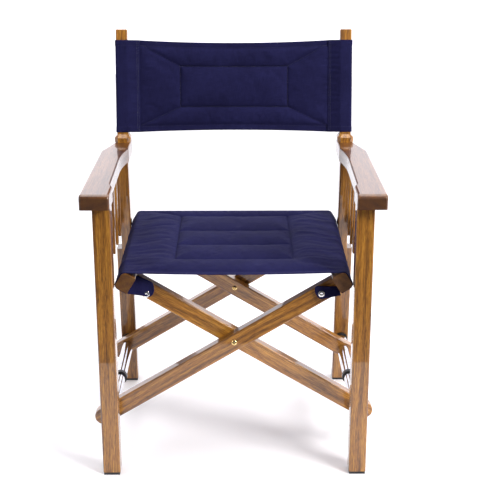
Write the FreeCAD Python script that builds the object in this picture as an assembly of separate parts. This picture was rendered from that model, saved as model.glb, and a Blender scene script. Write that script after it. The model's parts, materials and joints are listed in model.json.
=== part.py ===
import FreeCAD, Part
import math
import os

# A director's folding chair in varnished wood with quilted canvas slings.
# Frame: millimetres, +Z up, -Y to the front, origin on the floor at the middle of the chair.
# Each side frame is one rigid body. Two crossed strut frames join them: the outer frame pivots low
# on the left side frame and carries the right seat rail, the inner frame is its mirror image.

Vec = FreeCAD.Vector

# ---- driving dimensions -------------------------------------------------------------------------
HEIGHT = 872.0               # floor to the top of the back posts
FRONT_BACK = 236.1           # from the front legs' front face back to the origin
LEG = 36.0                   # legs are square
LEG_X = 260.0                # middle of each leg, to either side
RAKE = 0.12                  # the rear legs come forward by this much per mm of height
REAR_FOOT = 462.0            # rear leg's front face at the floor, back from the front legs' face
UPRIGHT = 24.0               # width of the rear leg above its shoulder
SHOULDER = 363.0             # height of that shoulder
GLIDE = 6.0                  # thickness of the black glides under the feet

ARM_TOP = 624.0
ARM_THICK = 30.0
ARM_FRONT = -25.0            # the arm's nose stands ahead of the legs
ARM_OUTER = 299.5
ARM_INNER = 240.0
NOSE_ROUND = 10.0            # round-over along the nose's top edge

RAIL_LOW = 412.0             # side rail that the slats are fixed to
RAIL_HIGH = 454.0
RAIL_THICK = 12.0
SLAT_COUNT = 6
SLAT_PITCH = 62.0
SLAT_THICK = 5.0
SLAT_WIDE = 16.0

PIVOT_HEIGHT = 119.0         # low pivots, on the middle line of the legs
CROSS_HEIGHT = 277.4         # crossing of the struts, on the chair's middle plane
STRUT_WIDE = 36.0
STRUT_THICK = 24.0
STRUT_TAIL = 24.0            # from the low pivot to the middle of the strut's round end
OUTER_FRONT = 60.0           # the four struts' front faces, back from the front legs' face
INNER_FRONT = 85.0
INNER_REAR = 380.0
OUTER_REAR = 405.0

SEAT_RAIL_X = 221.0          # middle of each seat rail
SEAT_RAIL_Z = 424.0
SEAT_RAIL_ALONG = 30.0       # section of the seat rail, along its strut and square to it
SEAT_RAIL_ACROSS = 37.0
SEAT_RAIL_ROUND = 10.0       # radius of the rail's two outer edges
SEAT_RAIL_START = 28.0
SEAT_RAIL_END = 455.0

ROD_R = 10.0                 # axle rod of the low pivots
COLLAR_AT = 226.0            # black collar at the step between the axle's two tubes
COLLAR_LONG = 11.0
END_RING = 7.0               # dark rings where the axle enters the legs
RUNNING = 0.05               # radial clearance of the turning fits
BOLT_R = 4.0                 # cross bolts
BOLT_HEAD_R = 6.2
SOCKET_R = 2.4               # corners of the hexagon socket
SCREW_R = 2.0                # screws through the seat rails
SCREW_LONG = 26.0

LEAN = math.atan(0.2)        # the back posts lean back
POST = 26.0
POST_X = 253.0
POST_Y = 421.0               # post's middle line at the height of the arm's top
TENON_WIDE = 16.0            # the post's tenon through the arm
TENON_DEEP = 14.0
TENON_LONG = 70.0
COLLAR_FRONT = 398.0
COLLAR_DEEP = 40.0
COLLAR_HIGH = 18.0
COLLAR_CHAMFER = 7.0

CLOTH = 1.2                  # canvas
CLOTH_GAP = 0.4              # between canvas and wood
PAD = 10.0                   # quilted part of the slings
PAD_HALF = 192.0             # the seat's pad reaches this far to either side, between the rails
BACK_LOW = 643.0
BACK_HIGH = 846.0
SLEEVE_SEAM = 219.0          # stitched line that closes the sleeve round a back post
TAB_FRONT = 54.0             # canvas tabs with press studs, ahead of the struts
STUD_X = 180.0
STUD_Z = 390.0
STUD_R = 6.5
STUD_HIGH = 2.5

SIDES = {"left": -1, "right": 1}
SLOPE = math.atan2(CROSS_HEIGHT - PIVOT_HEIGHT, LEG_X)


def row_y(depth):
    """Place measured back from the front legs' front face, in the chair's own frame."""
    return depth - FRONT_BACK


def save(name, *solids):
    """Write one node; several loose solids go into one compound."""
    shape = solids[0] if len(solids) == 1 else Part.makeCompound(list(solids))
    shape.exportStep("parts/" + name + ".step")


def block(x0, x1, y0, y1, z0, z1):
    """Box between two corners, with its depth measured from the front legs' face."""
    return Part.makeBox(x1 - x0, y1 - y0, z1 - z0, Vec(x0, row_y(y0), z0))


def prism(points, direction):
    """Extrude a closed polygon."""
    wire = Part.makePolygon(list(points) + [points[0]])
    return Part.Face(wire).extrude(direction)


def rod(radius, x, z, y0, y1):
    """Cylinder that runs front to back."""
    return Part.makeCylinder(radius, y1 - y0, Vec(x, row_y(y0), z), Vec(0, 1, 0))


def ring(outer, inner, x, z, y0, y1):
    """Tube that runs front to back."""
    return rod(outer, x, z, y0, y1).cut(rod(inner, x, z, y0 - 1, y1 + 1))


def soften(solid, radius, keep):
    """Round the edges that keep() picks."""
    edges = [edge for edge in solid.Edges if keep(edge)]
    return solid.makeFillet(radius, edges)


def edge_runs(edge, axis, least=20.0):
    """True for a straight edge longer than least that runs mostly along the axis."""
    if len(edge.Vertexes) != 2:
        return False
    run = edge.Vertexes[1].Point - edge.Vertexes[0].Point
    return run.Length > least and abs(run.dot(axis)) > 0.9 * run.Length


def on_side(solid, side):
    """Parts are drawn for the right side and mirrored for the left."""
    if side > 0:
        return solid
    return solid.mirror(Vec(0, 0, 0), Vec(1, 0, 0))


# ---- side frame ---------------------------------------------------------------------------------
def rear_face(z):
    """Depth of the rear leg's front face at a height."""
    return REAR_FOOT - RAKE * z


def raked_bar(x0, x1, z0, z1):
    """Stretch of the rear leg between two heights."""
    outline = []
    for depth, z in ((rear_face(z0), z0), (rear_face(z0) + LEG, z0),
                     (rear_face(z1) + LEG, z1), (rear_face(z1), z1)):
        outline.append(Vec(x0, row_y(depth), z))
    return prism(outline, Vec(x1 - x0, 0, 0))


def front_leg():
    leg = block(LEG_X - LEG / 2, LEG_X + LEG / 2, 0, LEG, GLIDE, ARM_TOP - ARM_THICK)
    return soften(leg, 3.0, lambda e: edge_runs(e, Vec(0, 0, 1)))


def rear_leg():
    inner = LEG_X - LEG / 2
    lower = raked_bar(inner, inner + LEG, GLIDE, SHOULDER)
    upper = raked_bar(inner, inner + UPRIGHT, SHOULDER, ARM_TOP - ARM_THICK)
    leg = lower.fuse(upper).removeSplitter()
    rake_line = Vec(0, -RAKE, 1).normalize()
    return soften(leg, 3.0, lambda e: edge_runs(e, rake_line))


def foot_glides():
    inner = LEG_X - LEG / 2 + 1
    outer = LEG_X + LEG / 2 - 1
    front = block(inner, outer, 1, LEG - 1, 0, GLIDE)
    rear = block(inner, outer, rear_face(0) + 1, rear_face(0) + LEG - 1, 0, GLIDE)
    return [soften(pad, 2.0, lambda e: edge_runs(e, Vec(0, 0, 1), 3.0)) for pad in (front, rear)]


def arm_outline():
    """Plan of the right arm: wide nose, hand notch, slim middle, flare over the rear leg."""
    end = COLLAR_FRONT + COLLAR_DEEP
    near = POST_X - LEG / 2
    far = POST_X + LEG / 2
    nose_in = Vec(ARM_INNER, row_y(ARM_FRONT), 0)
    nose_out = Vec(ARM_OUTER, row_y(ARM_FRONT), 0)
    notch = [Vec(ARM_INNER, row_y(40), 0), Vec(ARM_INNER + 6, row_y(60), 0)]
    waist = Vec(ARM_INNER + 7, row_y(245), 0)
    bend = Vec(ARM_INNER + 3, row_y(305), 0)
    flare = Vec(near, row_y(348), 0)
    back_in = Vec(near, row_y(end), 0)
    back_out = Vec(far, row_y(end), 0)
    taper = [Vec(far, row_y(402), 0), Vec(ARM_OUTER - 5, row_y(324), 0)]
    bow = Vec(far + 13, row_y(358), 0)
    edges = [Part.makeLine(nose_in, notch[0]), Part.makeLine(notch[0], notch[1]),
             Part.makeLine(notch[1], waist), Part.Arc(waist, bend, flare).toShape(),
             Part.makeLine(flare, back_in), Part.makeLine(back_in, back_out),
             Part.makeLine(back_out, taper[0]), Part.Arc(taper[0], bow, taper[1]).toShape(),
             Part.makeLine(taper[1], nose_out), Part.makeLine(nose_out, nose_in)]
    return Part.Wire(edges)


def arm_side_view():
    """Arm seen from the side: its nose is rounded over at the top."""
    top = ARM_TOP
    low = ARM_TOP - ARM_THICK
    front = row_y(ARM_FRONT)
    back = row_y(COLLAR_FRONT + COLLAR_DEEP)
    turn = NOSE_ROUND * (1 - math.sqrt(0.5))
    over = Part.Arc(Vec(0, front, top - NOSE_ROUND), Vec(0, front + turn, top - turn),
                    Vec(0, front + NOSE_ROUND, top)).toShape()
    corners = [Vec(0, front + NOSE_ROUND, top), Vec(0, back, top), Vec(0, back, low),
               Vec(0, front, low), Vec(0, front, top - NOSE_ROUND)]
    edges = [over] + [Part.makeLine(a, b) for a, b in zip(corners, corners[1:])]
    return Part.Face(Part.Wire(edges)).extrude(Vec(ARM_OUTER + LEG, 0, 0))


def armrest():
    plan = arm_outline()
    plan.translate(Vec(0, 0, ARM_TOP - ARM_THICK))
    arm = Part.Face(plan).extrude(Vec(0, 0, ARM_THICK)).common(arm_side_view())
    nose = row_y(ARM_FRONT) + 1
    arm = soften(arm, 5.0, lambda e: edge_runs(e, Vec(0, 0, 1), 15) and e.CenterOfMass.y < nose)
    return soften(arm, 3.0, lambda e: abs(e.CenterOfMass.z - ARM_TOP) < 0.01
                  and e.CenterOfMass.y > nose + NOSE_ROUND)


def side_rail():
    outer = LEG_X + LEG / 2
    back = rear_face(RAIL_HIGH) + LEG
    rail = block(outer - RAIL_THICK, outer, LEG, back, RAIL_LOW, RAIL_HIGH)
    return soften(rail, 2.0, lambda e: edge_runs(e, Vec(0, 1, 0)))


def arm_slats():
    outer = LEG_X + LEG / 2 - RAIL_THICK
    slats = []
    for count in range(SLAT_COUNT):
        middle = SLAT_PITCH * (count + 1)
        slats.append(block(outer - SLAT_THICK, outer, middle - SLAT_WIDE / 2, middle + SLAT_WIDE / 2,
                           RAIL_LOW, ARM_TOP - ARM_THICK))
    return [soften(slat, 1.2, lambda e: edge_runs(e, Vec(0, 0, 1))) for slat in slats]


def arm_dowels():
    """Two hidden dowels that pin the arm to the front leg; the back post pins its other end."""
    spacing = 9.0
    into_leg = 30.0
    into_arm = 18.0
    root = ARM_TOP - ARM_THICK - into_leg
    spots = [Vec(LEG_X + side * spacing, row_y(LEG / 2), root) for side in (-1, 1)]
    return [Part.makeCylinder(5.0, into_leg + into_arm, spot) for spot in spots]


# ---- low pivots ---------------------------------------------------------------------------------
def axle_rod():
    return rod(ROD_R, LEG_X, PIVOT_HEIGHT, 16, rear_face(PIVOT_HEIGHT) + 20)


def axle_tubes(front_strut, rear_strut):
    """Thin steel tube ahead of the collar and a thicker one behind it, between the struts."""
    bore = ROD_R + 0.5
    front = ring(12.0, bore, LEG_X, PIVOT_HEIGHT, front_strut + STRUT_THICK + 0.5, COLLAR_AT)
    rear = ring(13.5, bore, LEG_X, PIVOT_HEIGHT, COLLAR_AT + COLLAR_LONG, rear_strut - 0.5)
    return front, rear


def axle_collar():
    return ring(15.5, ROD_R, LEG_X, PIVOT_HEIGHT, COLLAR_AT, COLLAR_AT + COLLAR_LONG)


def axle_spacers(front_strut, rear_strut):
    """Short steel tubes that hold the struts away from the legs."""
    bore = ROD_R + 0.5
    front = ring(13.5, bore, LEG_X, PIVOT_HEIGHT, LEG + END_RING, front_strut - 0.5)
    reach = rear_face(PIVOT_HEIGHT) - END_RING
    rear = ring(13.5, bore, LEG_X, PIVOT_HEIGHT, rear_strut + STRUT_THICK + 0.5, reach)
    return [front, rear]


def end_rings(leg):
    """Dark rings where the axle enters the legs; the rear one is cut to the leg's rake."""
    front = ring(16.0, ROD_R, LEG_X, PIVOT_HEIGHT, LEG, LEG + END_RING)
    reach = rear_face(PIVOT_HEIGHT)
    rear = ring(16.0, ROD_R, LEG_X, PIVOT_HEIGHT, reach - END_RING, reach + 6).cut(leg)
    return [front, rear]


# ---- back posts ---------------------------------------------------------------------------------
def lean_back(solid):
    """Tilt a solid that is drawn upright about the post's foot."""
    solid.rotate(Vec(0, row_y(POST_Y), ARM_TOP), Vec(1, 0, 0), -math.degrees(LEAN))
    return solid


def along_post(height):
    """Height on the upright drawing that leans to the given height."""
    return ARM_TOP + (height - ARM_TOP) / math.cos(LEAN)


def back_post():
    """Square post, rounded at its top, with a tenon down through the arm into the rear leg."""
    half = POST / 2
    top = along_post(HEIGHT) - half * math.tan(LEAN)
    post = block(POST_X - half, POST_X + half, POST_Y - half, POST_Y + half, ARM_TOP + 4, top)
    post = soften(post, 2.5, lambda e: edge_runs(e, Vec(0, 0, 1)) or e.CenterOfMass.z > top - 0.1)
    tenon = block(POST_X - TENON_WIDE / 2, POST_X + TENON_WIDE / 2, POST_Y - TENON_DEEP / 2 + 1,
                  POST_Y + TENON_DEEP / 2 + 1, ARM_TOP - TENON_LONG, ARM_TOP + 5)
    return lean_back(post.fuse(tenon).removeSplitter())


def post_collar():
    """Faceted block on the arm's rear end that the post stands in."""
    half = LEG / 2
    body = block(POST_X - half, POST_X + half, COLLAR_FRONT, COLLAR_FRONT + COLLAR_DEEP,
                 ARM_TOP, ARM_TOP + COLLAR_HIGH)
    uprights = [edge for edge in body.Edges if edge_runs(edge, Vec(0, 0, 1), COLLAR_HIGH / 2)]
    body = body.makeChamfer(COLLAR_CHAMFER, uprights)
    rims = [e for e in body.Edges if abs(e.CenterOfMass.z - ARM_TOP - COLLAR_HIGH) < 0.01]
    return body.makeChamfer(COLLAR_CHAMFER, rims)


# ---- crossed strut frames -----------------------------------------------------------------------
def strut_point(along, across, depth):
    """Point on the outer strut: along it from the crossing, and square to it, upwards positive."""
    x = along * math.cos(SLOPE) - across * math.sin(SLOPE)
    z = CROSS_HEIGHT + along * math.sin(SLOPE) + across * math.cos(SLOPE)
    return Vec(x, row_y(depth), z)


def rail_middle():
    """Seat rail's middle, as along and across on the strut."""
    dx = SEAT_RAIL_X
    dz = SEAT_RAIL_Z - CROSS_HEIGHT
    along = dx * math.cos(SLOPE) + dz * math.sin(SLOPE)
    across = dz * math.cos(SLOPE) - dx * math.sin(SLOPE)
    return along, across


def bar(depth, start, end, low, high, thick=STRUT_THICK):
    """Straight bar in the strut's plane."""
    corners = [strut_point(start, low, depth), strut_point(end, low, depth),
               strut_point(end, high, depth), strut_point(start, high, depth)]
    return prism(corners, Vec(0, thick, 0))


def strut(depth):
    """Strut with a round lower end, an axle hole, and a tenon screwed into the seat rail."""
    half = STRUT_WIDE / 2
    pivot = -math.hypot(LEG_X, CROSS_HEIGHT - PIVOT_HEIGHT)
    tail = strut_point(pivot - STRUT_TAIL, 0, depth)
    along, across = rail_middle()
    end = along - SEAT_RAIL_ALONG / 2
    body = bar(depth, pivot - STRUT_TAIL, end, -half, half)
    body = body.fuse(Part.makeCylinder(half, STRUT_THICK, tail, Vec(0, 1, 0))).removeSplitter()
    body = soften(body, 2.5, lambda e: abs(abs(e.CenterOfMass.y - row_y(depth) - STRUT_THICK / 2)
                                           - STRUT_THICK / 2) < 0.1 and e.Length > 50)
    body = body.fuse(strut_tenon(depth))
    body = body.cut(rod(ROD_R + RUNNING, -LEG_X, PIVOT_HEIGHT, depth - 1, depth + STRUT_THICK + 1))
    return body.cut(rail_screw(depth))


def strut_tenon(depth):
    along, across = rail_middle()
    end = along - SEAT_RAIL_ALONG / 2
    return bar(depth + 6, end - 2, end + 14, across - 10, across + 6, 12)


def seat_rail(front, rear):
    """Rail at the struts' upper ends, rounded where the canvas wraps it."""
    along, across = rail_middle()
    a = SEAT_RAIL_ALONG / 2
    b = SEAT_RAIL_ACROSS / 2
    rail = bar(SEAT_RAIL_START, along - a, along + a, across - b, across + b,
               SEAT_RAIL_END - SEAT_RAIL_START)
    outward = Vec(math.cos(SLOPE), 0, math.sin(SLOPE))
    middle = strut_point(along, across, SEAT_RAIL_START)
    rail = soften(rail, SEAT_RAIL_ROUND, lambda e: edge_runs(e, Vec(0, 1, 0))
                  and (e.CenterOfMass - middle).dot(outward) > 0)
    rail = soften(rail, 2.5, lambda e: edge_runs(e, Vec(0, 1, 0))
                  and (e.CenterOfMass - middle).dot(outward) < -a + 1)
    for depth in (front, rear):
        rail = rail.cut(strut_tenon(depth)).cut(rail_screw(depth))
    return rail


def rail_screw(depth):
    """Countersunk screw through the rail and the strut's tenon, from the rail's inner side."""
    along, across = rail_middle()
    start = strut_point(along - 5, across - SEAT_RAIL_ACROSS / 2, depth + STRUT_THICK / 2)
    up = Vec(-math.sin(SLOPE), 0, math.cos(SLOPE))
    shank = Part.makeCylinder(SCREW_R, SCREW_LONG, start, up)
    head = Part.makeCone(2 * SCREW_R, SCREW_R, 3, start, up)
    return shank.fuse(head)


def cross_bolt(front, back):
    """Brass bolt through a pair of struts, with a domed socket head in front and a cap nut behind."""
    dome = BOLT_HEAD_R * 1.3
    rise = math.sqrt(dome ** 2 - BOLT_HEAD_R ** 2)
    ends = [(front + rise, front - dome, front), (back - rise, back, back + dome)]
    bolt = rod(BOLT_R, 0, CROSS_HEIGHT, front - 1, back + 1)
    for middle, near, far in ends:
        cap = Part.makeSphere(dome, Vec(0, row_y(middle), CROSS_HEIGHT))
        bolt = bolt.fuse(cap.common(rod(BOLT_HEAD_R, 0, CROSS_HEIGHT, near, far)))
    bolt = bolt.removeSplitter()
    turns = [math.radians(60 * corner) for corner in range(6)]
    hexagon = [Vec(SOCKET_R * math.cos(t), row_y(front - dome), CROSS_HEIGHT + SOCKET_R * math.sin(t))
               for t in turns]
    return bolt.cut(prism(hexagon, Vec(0, dome - 0.5, 0)))


def washer(front, back):
    return ring(10.0, BOLT_R, 0, CROSS_HEIGHT, front, back)


def bolt_hole(front, back, slack):
    return rod(BOLT_R + slack, 0, CROSS_HEIGHT, front - 1, back + 1)


# ---- canvas -------------------------------------------------------------------------------------
def seat_sling():
    """Canvas from rail to rail, over each rail's top and down its outer side, with a quilted pad."""
    along, across = rail_middle()
    a = SEAT_RAIL_ALONG / 2 - SEAT_RAIL_ROUND
    b = SEAT_RAIL_ACROSS / 2 - SEAT_RAIL_ROUND
    inner = SEAT_RAIL_ROUND + CLOTH_GAP
    outer = inner + CLOTH
    upper = strut_point(along + a, across + b, SEAT_RAIL_START)
    lower = strut_point(along + a, across - b, SEAT_RAIL_START)
    reach = Vec(math.cos(SLOPE), 0, math.sin(SLOPE))
    up = Vec(0, 0, 1)
    bend = (reach + up).normalize()
    over_out = Part.Arc(upper + up * outer, upper + bend * outer, upper + reach * outer).toShape()
    over_in = Part.Arc(upper + up * inner, upper + bend * inner, upper + reach * inner).toShape()
    hem_out = lower + reach * outer
    hem_in = lower + reach * inner
    middle_out = Vec(0, upper.y, upper.z + outer)
    middle_in = Vec(0, upper.y, upper.z + inner)
    wire = Part.Wire([Part.makeLine(middle_out, upper + up * outer), over_out,
                      Part.makeLine(upper + reach * outer, hem_out), Part.makeLine(hem_out, hem_in),
                      Part.makeLine(hem_in, upper + reach * inner), over_in,
                      Part.makeLine(upper + up * inner, middle_in),
                      Part.makeLine(middle_in, middle_out)])
    depth = SEAT_RAIL_END - SEAT_RAIL_START
    half = Part.Face(wire).extrude(Vec(0, depth, 0))
    other = half.mirror(Vec(0, 0, 0), Vec(1, 0, 0))
    top = upper.z + outer
    pad = block(-PAD_HALF, PAD_HALF, SEAT_RAIL_START, SEAT_RAIL_END, top - PAD, top)
    return half.fuse(other).fuse(pad).removeSplitter()


def back_sling():
    """Canvas across the posts: a quilted panel with a sleeve round each post."""
    low = along_post(BACK_LOW)
    high = along_post(BACK_HIGH)
    hole = POST / 2 + CLOTH_GAP
    skin = hole + CLOTH
    panel = block(-SLEEVE_SEAM, SLEEVE_SEAM, POST_Y - PAD / 2, POST_Y + PAD / 2, low, high)
    for side in (-1, 1):
        middle = side * POST_X
        sleeve = block(middle - skin, middle + skin, POST_Y - skin, POST_Y + skin, low, high)
        sleeve = soften(sleeve, 3.0, lambda e: edge_runs(e, Vec(0, 0, 1)))
        inner = side * (SLEEVE_SEAM - 1)
        near = side * (POST_X - hole)
        web = block(min(inner, near), max(inner, near), POST_Y - PAD / 2, POST_Y + PAD / 2, low, high)
        core = block(middle - hole, middle + hole, POST_Y - hole, POST_Y + hole, low - 1, high + 1)
        panel = panel.fuse(web).fuse(sleeve).cut(core)
    return lean_back(panel.removeSplitter())


def seat_tab():
    """Canvas tab that closes the sling's front end under the rail, ahead of the struts."""
    outline = ((208, 392), (178, 378), (164, 388), (164, 431))
    corners = [Vec(x, row_y(TAB_FRONT), z) for x, z in outline]
    corners.append(strut_point(rail_middle()[0] - SEAT_RAIL_ALONG / 2 - 1, 18, TAB_FRONT))
    return prism(corners, Vec(0, CLOTH, 0))


def seat_stud():
    """Press stud on the tab."""
    spot = Vec(STUD_X, row_y(TAB_FRONT), STUD_Z)
    cap = Part.makeCylinder(STUD_R, STUD_HIGH, spot, Vec(0, -1, 0))
    return soften(cap, 1.0, lambda e: abs(e.CenterOfMass.y - spot.y + STUD_HIGH) < 0.01)


# ---- assembly -----------------------------------------------------------------------------------
def save_side(name, side, front_strut, rear_strut):
    legs = [front_leg(), rear_leg()]
    rod_solid = axle_rod()
    dowels = arm_dowels()
    post = back_post()
    legs[0] = legs[0].cut(rod_solid).cut(dowels[0]).cut(dowels[1])
    legs[1] = legs[1].cut(rod_solid).cut(post)
    arm = armrest().cut(dowels[0]).cut(dowels[1]).cut(post)
    front_tube, rear_tube = axle_tubes(front_strut, rear_strut)
    pieces = {
        "front_leg": [legs[0]],
        "rear_leg": [legs[1]],
        "foot_glides": foot_glides(),
        "armrest": [arm],
        "arm_dowels": dowels,
        "side_rail": [side_rail()],
        "arm_slats": arm_slats(),
        "axle_rod": [rod_solid],
        "axle_front_tube": [front_tube],
        "axle_rear_tube": [rear_tube],
        "axle_collar": [axle_collar()],
        "axle_spacers": axle_spacers(front_strut, rear_strut),
        "axle_end_rings": end_rings(rear_leg()),
        "back_post": [post],
        "post_collar": [post_collar().cut(post)],
    }
    for piece, solids in pieces.items():
        save(piece + "_" + name, *[on_side(solid, side) for solid in solids])


def save_strut_frame(frame, rail_side, front, rear, slack):
    """The outer frame is drawn as it stands; the inner one is the same drawing, mirrored."""
    for place, depth in (("front", front), ("rear", rear)):
        solid = strut(depth).cut(bolt_hole(depth, depth + STRUT_THICK, slack))
        save("strut_" + frame + "_" + place, on_side(solid, rail_side))
    name = "right" if rail_side > 0 else "left"
    save("seat_rail_" + name, on_side(seat_rail(front, rear), rail_side))
    screws = [on_side(rail_screw(depth), rail_side) for depth in (front, rear)]
    save("rail_screws_" + name, *screws)


os.makedirs("parts", exist_ok=True)
save_side("left", SIDES["left"], OUTER_FRONT, OUTER_REAR)
save_side("right", SIDES["right"], INNER_FRONT, INNER_REAR)
save_strut_frame("outer", SIDES["right"], OUTER_FRONT, OUTER_REAR, 0.0)
save_strut_frame("inner", SIDES["left"], INNER_FRONT, INNER_REAR, RUNNING)
save("cross_bolt_front", cross_bolt(OUTER_FRONT, INNER_FRONT + STRUT_THICK))
save("cross_bolt_rear", cross_bolt(INNER_REAR, OUTER_REAR + STRUT_THICK))
save("cross_washers", washer(OUTER_FRONT + STRUT_THICK, INNER_FRONT),
     washer(INNER_REAR + STRUT_THICK, OUTER_REAR))
save("seat_canvas", seat_sling())
save("back_canvas", back_sling())
for name, side in SIDES.items():
    save("seat_tab_" + name, on_side(seat_tab(), side))
    save("seat_stud_" + name, on_side(seat_stud(), side))
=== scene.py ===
"""Looks of a folding director's chair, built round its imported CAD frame. Units are metres."""
import json
import math

import bpy
import numpy as np
from mathutils import Matrix, Vector


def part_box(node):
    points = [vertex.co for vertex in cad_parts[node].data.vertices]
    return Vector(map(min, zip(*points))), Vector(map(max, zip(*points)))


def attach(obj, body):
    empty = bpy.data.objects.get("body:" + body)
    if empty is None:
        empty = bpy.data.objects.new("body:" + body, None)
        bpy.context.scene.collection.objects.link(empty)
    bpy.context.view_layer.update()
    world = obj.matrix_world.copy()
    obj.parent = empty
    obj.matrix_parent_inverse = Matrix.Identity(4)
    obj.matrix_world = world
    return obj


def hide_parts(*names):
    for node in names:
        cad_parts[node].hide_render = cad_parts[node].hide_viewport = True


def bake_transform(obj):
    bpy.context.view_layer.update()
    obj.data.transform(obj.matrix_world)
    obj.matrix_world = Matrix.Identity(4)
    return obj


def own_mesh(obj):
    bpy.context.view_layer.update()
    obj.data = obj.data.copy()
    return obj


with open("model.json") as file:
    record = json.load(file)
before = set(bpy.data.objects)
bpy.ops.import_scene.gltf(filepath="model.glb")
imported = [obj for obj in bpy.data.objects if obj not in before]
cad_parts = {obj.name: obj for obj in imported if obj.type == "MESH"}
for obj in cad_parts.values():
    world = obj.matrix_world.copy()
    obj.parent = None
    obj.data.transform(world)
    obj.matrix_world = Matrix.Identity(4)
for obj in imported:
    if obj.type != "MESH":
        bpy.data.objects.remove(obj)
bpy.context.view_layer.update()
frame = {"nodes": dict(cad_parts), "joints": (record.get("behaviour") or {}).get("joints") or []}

# ---- sizes --------------------------------------------------------------------------------------
CLOTH = 0.0012               # canvas
GAP = 0.0004                 # between canvas and wood
LEAN = math.atan(0.2)        # the back posts lean back
RAKE = math.atan(0.12)       # the rear legs come forward as they rise
RAIL_ROUND = 0.010           # outer edges of the seat rails
POST_ROUND = 0.0025
SEAT_SAG = 0.004             # at the front edge; the rear edge is tight
SEAT_UNDER = 0.019           # canvas tucked under each seat rail
SEAT_INNER_X = 0.1235        # stitched rectangle of the seat
SEAT_INNER_FRONT = 0.086     # its seams, back from the canvas' front edge
SEAT_INNER_REAR = 0.375
SEAT_CHANNELS = (0.176, 0.270)
SEAT_CORNER_X = 0.200        # mitre seams run out to here
BACK_INNER_X = 0.122         # stitched rectangle of the back
BACK_INNER_LOW = 0.056       # its seams, up from the canvas' lower edge and down from the upper one
BACK_INNER_TOP = 0.056
BACK_SEAM_X = 0.216          # where each sleeve is stitched to the panel
BACK_TOP_DIP = 0.006         # the stretched canvas' edges curve in between the posts
BACK_LOW_RISE = 0.0045
HEM = 0.012                  # hem line, in from each free edge
STITCH_STEP = 0.0036
STITCH_LONG = 0.0024
STITCH_R = 0.00032
STITCH_RINGS = ((-0.5, 0.35), (-0.28, 1.05), (0.28, 1.05), (0.5, 0.35))     # place along it, thickness
STITCH_TURNS = 5
GROOVE_WIDE = 0.0012         # how far each seam presses into the canvas beside it
SEAT_GROOVE = 0.0013
BACK_GROOVE = 0.0012
HEM_EXTRA = 0.0006           # the folded hem is thicker
SEAT_PUFF = (0.0078, 0.0105)          # height and width of the filling on top
SEAT_PUFF_UNDER = (0.0030, 0.0070)
BACK_PUFF_WIDE = 0.0065
BACK_PUFF_FRONT = 0.0042
BACK_PUFF_REAR = 0.0036
BACK_PUCKER = 0.00012
BACK_TUCK = 0.018            # panel that runs on into each sleeve
SLEEVE_START = 0.003         # the sleeve begins this far inside the seam
SLEEVE_LIP = 0.0022
SLEEVE_WEB = 0.020           # from the seam to where the canvas meets the post
SLEEVE_STEP = 0.0016
SLEEVE_PUCKER = 0.00022
EDGE_ROUND = 0.0015          # radius of the canvas' free edges
EDGE_LINES = (0.0, 0.0003, 0.0008, 0.0015)
EDGE_CLEAR = 0.0026
CREASE_LINES = (-0.0019, -0.0011, -0.0005, 0.0, 0.0005, 0.0011, 0.0019)
CREASE_CLEAR = 0.0028
TAB_ROUND = 0.20             # the last part of a strap that is rounded off, as a share of it
TAB_GRID = (40, 17)          # rows along and across a strap
TABS = {                     # strap ends as x, y from its front, z: lower and upper corner
    # the left strap's upper corners reach up to the seat: its upper part is a navy sheet put as painted
    # shade where the seat shades the strut, while the right strap stops lower
    -1: (((-0.2185, -0.010, 0.3945), (-0.2000, 0.004, 0.4300)),
         ((-0.1665, 0.0, 0.3830), (-0.1630, 0.0, 0.4135))),
    1: (((0.2190, -0.012, 0.3905), (0.2150, 0.002, 0.4045)),
        ((0.1730, 0.0, 0.3765), (0.1630, 0.0, 0.4070)))}
STUD_PROFILE = ((0.0, -0.0022), (0.0016, -0.0023), (0.0022, -0.0029), (0.0038, -0.0030),
                (0.0052, -0.0026), (0.0058, -0.0021), (0.0062, -0.0022), (0.0067, -0.0019),
                (0.0069, -0.0012), (0.0066, -0.0004), (0.0060, 0.0002))     # radius, depth
STUD_TURNS = 40
STUD_BACK = 0.0008           # the stud sits this far into its strap
FLOOR_SIZE = 60.0
FLOOR_FRONT = 0.80           # the white sweep ends this far ahead of the origin
CAMERA_PLACE = (0.0101, -2.3939, 1.2533)
CAMERA_DOWN = 19.02          # degrees below the horizon
CAMERA_TURN = -0.457         # degrees, to the right
CAMERA_LENS = 83.9           # millimetres, on a 36 mm sensor
LAMPS = (                    # name, place, aim, size, watts
    ("backdrop", (0, 4.4, 2.0), (0, 0, 2.0), (10.0, 4.4), 150),
    ("key", (2.3, -1.9, 2.3), (0, 0, 0.45), (1.1, 1.1), 122),
    ("fill", (-2.6, -1.6, 1.8), (0, 0, 0.4), (1.6, 1.6), 20),
    ("top", (0.2, 0.5, 3.4), (0, 0, 0.4), (3.4, 3.4), 108))
SIM_STEP = 0.006             # grid of the cloth simulation
MESH_STEP = 0.0028           # grid of the final canvas
SIM_FRAMES = 16
SIM_CAP = 0.0035             # the most that the simulation may move a point
SIM_SHARE = 0.5              # how much of that movement the stiff, starched canvas keeps

joints = {joint["name"]: joint for joint in frame["joints"]}
low_pivot = Vector(joints["fold"]["pos_m"])
cross = Vector(joints["cross_pivot"]["pos_m"])
SLOPE = math.atan2(cross.z - low_pivot.z, -low_pivot.x)
ALONG = Vector((math.cos(SLOPE), 0, math.sin(SLOPE)))     # up the outer struts
SQUARE = Vector((-math.sin(SLOPE), 0, math.cos(SLOPE)))   # square to them
UPRIGHT = Vector((0, math.sin(LEAN), math.cos(LEAN)))     # up the back posts
DEPTH = Vector((0, math.cos(LEAN), -math.sin(LEAN)))      # square to them, to the rear


def extent(node, axis):
    """Lowest and highest place of a CAD node along an axis."""
    places = [vertex.co.dot(axis) for vertex in frame["nodes"][node].data.vertices]
    return min(places), max(places)


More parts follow.
